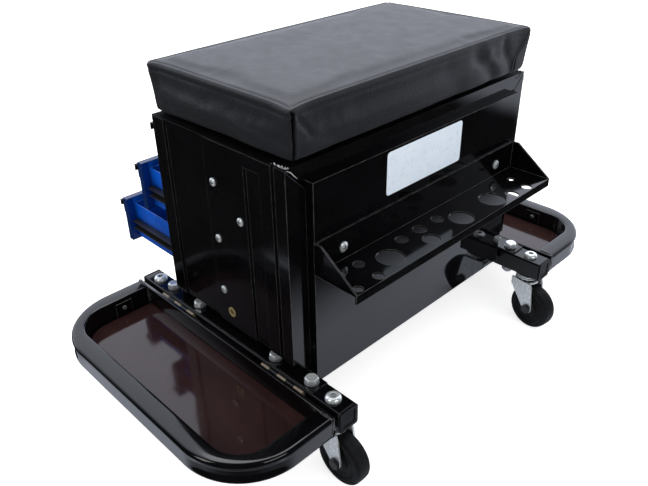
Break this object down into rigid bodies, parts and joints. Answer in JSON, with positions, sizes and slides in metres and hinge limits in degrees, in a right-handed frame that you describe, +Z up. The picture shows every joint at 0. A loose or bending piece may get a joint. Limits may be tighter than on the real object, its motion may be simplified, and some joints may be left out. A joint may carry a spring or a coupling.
{
  "type": "creeper seat",
  "caption": "Rolling mechanic's seat: padded cushion on a steel drawer cabinet with folding side trays, a rear tool rack and swivel casters.",
  "frame": {"origin": "on the floor under the centre of the whole object as pictured, with the lower drawers partly open", "axes": "+Z up, +Y towards the tool rack at the rear, drawers open towards -Y, +X towards the tray and side panel on the left of the picture"},
  "size_m": [0.6638, 0.4264, 0.395],
  "materials": {
    "black_paint": "glossy black powder coat",
    "gloss_black_panel": "mirror-glossy black enamel",
    "black_vinyl": "fine-grained black leatherette",
    "plywood": "raw birch plywood",
    "blue_paint": "glossy blue powder coat",
    "zinc": "bright zinc plating",
    "black_zinc": "black zinc plating, slightly oily",
    "black_plastic": "moulded black plastic",
    "black_rubber": "black rubber tread on a plastic wheel",
    "tray_mat": "glossy dark red-brown sheet",
    "yellow_zinc": "yellow zinc plating",
    "label_white": "plain white film"
  },
  "bodies": {
    "cabinet": {"seat_cushion": "black_vinyl", "seat_board": "plywood", "seat_spacers": "zinc", "cabinet_top": "black_paint", "side_panel_left": "black_paint", "side_panel_right": "black_paint", "rear_panel": "gloss_black_panel", "cabinet_floor": "black_paint", "front_skirt": "black_paint", "mounting_rails": "black_paint", "base_tube_left": "black_paint", "base_tube_right": "black_paint", "tube_end_caps": "black_plastic", "frame_bolts": "zinc", "frame_nuts_and_washers": "zinc", "caster_bolts": "zinc", "caster_kingpins": "zinc", "caster_balls": "zinc", "cabinet_screws": "zinc", "side_inserts": "yellow_zinc", "slide_outer_rails": "black_zinc", "tool_rack": "black_paint", "blank_label_plate": "label_white", "hinge_fixed_leaves": "yellow_zinc", "hinge_pins": "yellow_zinc"},
    "top_drawer": {"top_drawer_box": "blue_paint", "top_drawer_front": "blue_paint", "top_drawer_pull": "black_plastic", "top_drawer_slides": "black_zinc"},
    "top_cage_pair": {"top_ball_cages": "zinc"},
    "middle_drawer": {"middle_drawer_box": "blue_paint", "middle_drawer_front": "blue_paint", "middle_drawer_pull": "black_plastic", "middle_drawer_slides": "black_zinc"},
    "middle_cage_pair": {"middle_ball_cages": "zinc"},
    "bottom_drawer": {"bottom_drawer_box": "blue_paint", "bottom_drawer_front": "blue_paint", "bottom_drawer_pull": "black_plastic", "bottom_drawer_slides": "black_zinc"},
    "bottom_cage_pair": {"bottom_ball_cages": "zinc"},
    "left_tray": {"left_tray_frame": "black_paint", "left_tray_floor": "black_paint", "left_tray_mat": "tray_mat", "left_hinges_and_rivets": "yellow_zinc"},
    "right_tray": {"right_tray_frame": "black_paint", "right_tray_floor": "black_paint", "right_tray_mat": "tray_mat", "right_hinges_and_rivets": "yellow_zinc"},
    "rear_left_caster": {"rear_left_fork": "zinc", "rear_left_axle": "zinc"},
    "rear_left_wheel": {"rear_left_wheel": "black_rubber"},
    "rear_right_caster": {"rear_right_fork": "zinc", "rear_right_axle": "zinc"},
    "rear_right_wheel": {"rear_right_wheel": "black_rubber"},
    "front_left_caster": {"front_left_fork": "zinc", "front_left_axle": "zinc"},
    "front_left_wheel": {"front_left_wheel": "black_rubber"},
    "front_right_caster": {"front_right_fork": "zinc", "front_right_axle": "zinc"},
    "front_right_wheel": {"front_right_wheel": "black_rubber"}
  },
  "joints": [
    {"name": "top_drawer_slide", "type": "slide", "parent": "cabinet", "child": "top_drawer", "axis": [0, -1, 0], "range_m": [0, 0.14]},
    {"name": "top_cage_slide", "type": "slide", "parent": "cabinet", "child": "top_cage_pair", "axis": [0, -1, 0], "range_m": [0, 0.07]},
    {"name": "middle_drawer_slide", "type": "slide", "parent": "cabinet", "child": "middle_drawer", "axis": [0, -1, 0], "range_m": [-0.051, 0.089]},
    {"name": "middle_cage_slide", "type": "slide", "parent": "cabinet", "child": "middle_cage_pair", "axis": [0, -1, 0], "range_m": [-0.0255, 0.0445]},
    {"name": "bottom_drawer_slide", "type": "slide", "parent": "cabinet", "child": "bottom_drawer", "axis": [0, -1, 0], "range_m": [-0.104, 0.036]},
    {"name": "bottom_cage_slide", "type": "slide", "parent": "cabinet", "child": "bottom_cage_pair", "axis": [0, -1, 0], "range_m": [-0.052, 0.018]},
    {"name": "left_tray_fold", "type": "hinge", "parent": "cabinet", "child": "left_tray", "pos_m": [0.2022, 0.013, 0.099], "axis": [0, -1, 0], "range_deg": [0, 90]},
    {"name": "right_tray_fold", "type": "hinge", "parent": "cabinet", "child": "right_tray", "pos_m": [-0.2022, 0.013, 0.099], "axis": [0, 1, 0], "range_deg": [0, 90]},
    {"name": "rear_left_swivel", "type": "hinge", "parent": "cabinet", "child": "rear_left_caster", "pos_m": [0.187, 0.168, 0.07], "axis": [0, 0, 1], "continuous": true},
    {"name": "rear_left_spin", "type": "hinge", "parent": "rear_left_caster", "child": "rear_left_wheel", "pos_m": [0.187, 0.183, 0.03], "axis": [1, 0, 0], "continuous": true},
    {"name": "rear_right_swivel", "type": "hinge", "parent": "cabinet", "child": "rear_right_caster", "pos_m": [-0.187, 0.168, 0.07], "axis": [0, 0, 1], "continuous": true},
    {"name": "rear_right_spin", "type": "hinge", "parent": "rear_right_caster", "child": "rear_right_wheel", "pos_m": [-0.18491, 0.18285, 0.03], "axis": [0.9903, -0.1392, 0], "continuous": true},
    {"name": "front_left_swivel", "type": "hinge", "parent": "cabinet", "child": "front_left_caster", "pos_m": [0.187, -0.142, 0.07], "axis": [0, 0, 1], "continuous": true},
    {"name": "front_left_spin", "type": "hinge", "parent": "front_left_caster", "child": "front_left_wheel", "pos_m": [0.187, -0.127, 0.03], "axis": [1, 0, 0], "continuous": true},
    {"name": "front_right_swivel", "type": "hinge", "parent": "cabinet", "child": "front_right_caster", "pos_m": [-0.187, -0.142, 0.07], "axis": [0, 0, 1], "continuous": true},
    {"name": "front_right_spin", "type": "hinge", "parent": "front_right_caster", "child": "front_right_wheel", "pos_m": [-0.187, -0.127, 0.03], "axis": [1, 0, 0], "continuous": true}
  ],
  "couplings": [
    {"joint": "top_cage_slide", "follows": "top_drawer_slide", "ratio": 0.5},
    {"joint": "middle_cage_slide", "follows": "middle_drawer_slide", "ratio": 0.5},
    {"joint": "bottom_cage_slide", "follows": "bottom_drawer_slide", "ratio": 0.5}
  ]
}
